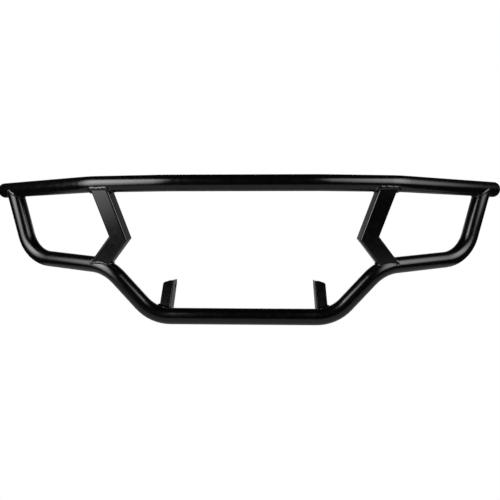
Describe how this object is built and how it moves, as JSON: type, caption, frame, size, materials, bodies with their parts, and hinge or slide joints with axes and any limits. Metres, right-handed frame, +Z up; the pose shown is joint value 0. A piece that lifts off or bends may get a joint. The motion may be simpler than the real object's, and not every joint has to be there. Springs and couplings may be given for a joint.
{
  "type": "grille guard",
  "caption": "Front grille guard for a small utility vehicle: a bent round-tube frame with rectangular-tube chevrons, headlight openings and bolt-on brackets, powder coated black.",
  "frame": {"origin": "middle of the common axis of the two bracket bolts", "axes": "+X across the guard, towards the right as seen from the front; +Y back towards the vehicle; +Z up"},
  "size_m": [1.276, 0.1732, 0.3445],
  "materials": {
    "powder_coat": "satin to semi-gloss black powder coat with a fine orange peel",
    "weld_bead": "the same black powder coat over rippled weld beads",
    "plug_plastic": "moulded black plastic, satin"
  },
  "bodies": {
    "root": {"top_tube": "powder_coat", "lower_tube": "powder_coat", "left_chevron_upper_arm": "powder_coat", "left_chevron_lower_arm": "powder_coat", "left_chevron_point_weld": "weld_bead", "left_chevron_top_weld": "weld_bead", "left_chevron_bottom_weld": "weld_bead", "left_upright_weld": "weld_bead", "left_mount_bracket": "powder_coat", "left_bracket_weld": "weld_bead", "left_end_plug": "plug_plastic", "right_chevron_upper_arm": "powder_coat", "right_chevron_lower_arm": "powder_coat", "right_chevron_point_weld": "weld_bead", "right_chevron_top_weld": "weld_bead", "right_chevron_bottom_weld": "weld_bead", "right_upright_weld": "weld_bead", "right_mount_bracket": "powder_coat", "right_bracket_weld": "weld_bead", "right_end_plug": "plug_plastic"}
  },
  "joints": []
}
